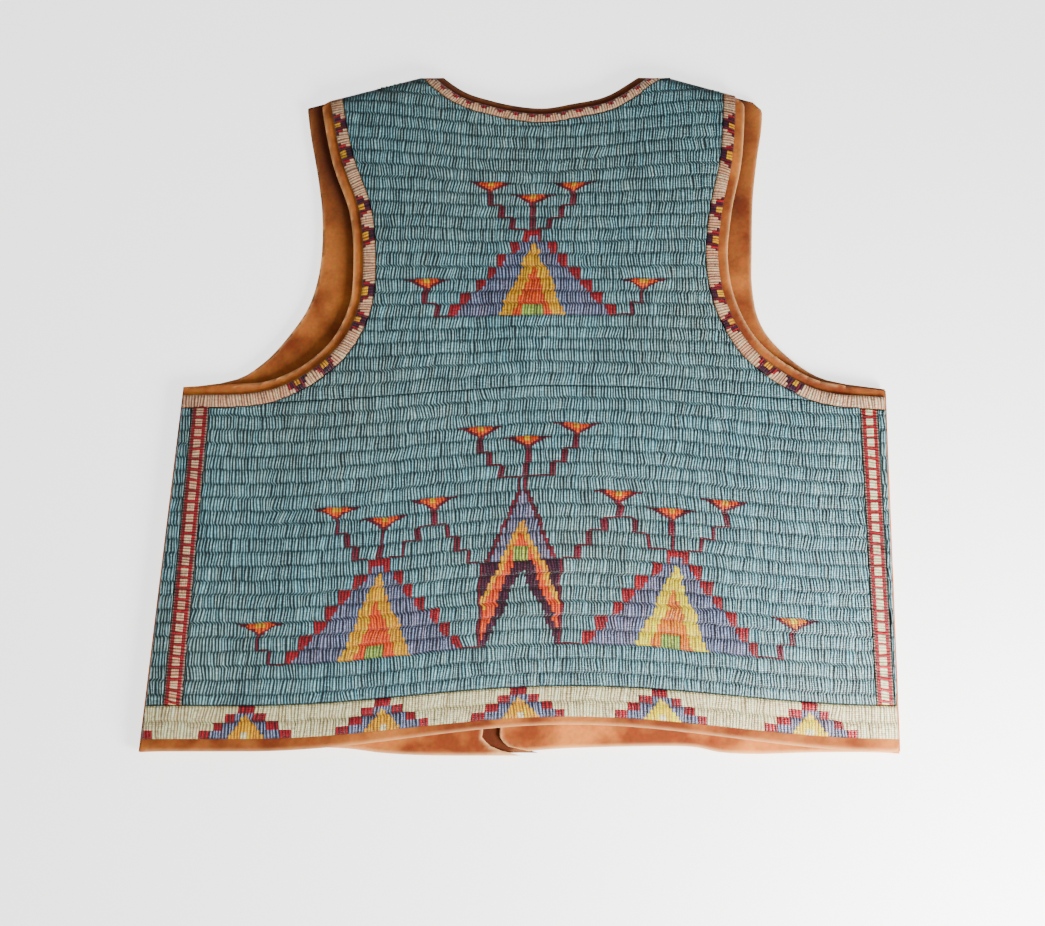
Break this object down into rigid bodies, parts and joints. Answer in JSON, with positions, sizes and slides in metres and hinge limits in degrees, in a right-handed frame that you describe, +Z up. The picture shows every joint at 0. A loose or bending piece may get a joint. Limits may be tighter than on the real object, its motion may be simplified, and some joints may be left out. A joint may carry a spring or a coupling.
{
  "type": "beaded hide vest laid flat",
  "caption": "Sleeveless hide vest fully covered in lane-stitch beadwork, laid flat with its back up and its open fronts face down.",
  "frame": {"origin": "middle of the vest's box, on the surface that it lies on", "axes": "+X to the right as seen from above, +Y from the hem to the neck, +Z up, out of the back panel"},
  "size_m": [0.5121, 0.5011, 0.0123],
  "materials": {
    "suede_hide": "brushed suede, matte",
    "turquoise_beads": "opaque seed beads, satin",
    "cream_beads": "opaque seed beads, satin",
    "red_beads": "opaque seed beads, satin"
  },
  "bodies": {
    "root": {"back_hide": "suede_hide", "front_hide_left": "suede_hide", "front_hide_right": "suede_hide", "back_beadwork": "turquoise_beads", "back_side_strip_left": "turquoise_beads", "back_side_strip_right": "turquoise_beads", "front_beadwork_left": "turquoise_beads", "front_beadwork_right": "turquoise_beads", "back_hem_border": "cream_beads", "front_hem_border_left": "cream_beads", "front_hem_border_right": "cream_beads", "armhole_edging_left": "cream_beads", "armhole_edging_right": "cream_beads", "neck_edging": "cream_beads", "back_band_left": "red_beads", "back_band_right": "red_beads"}
  },
  "joints": []
}
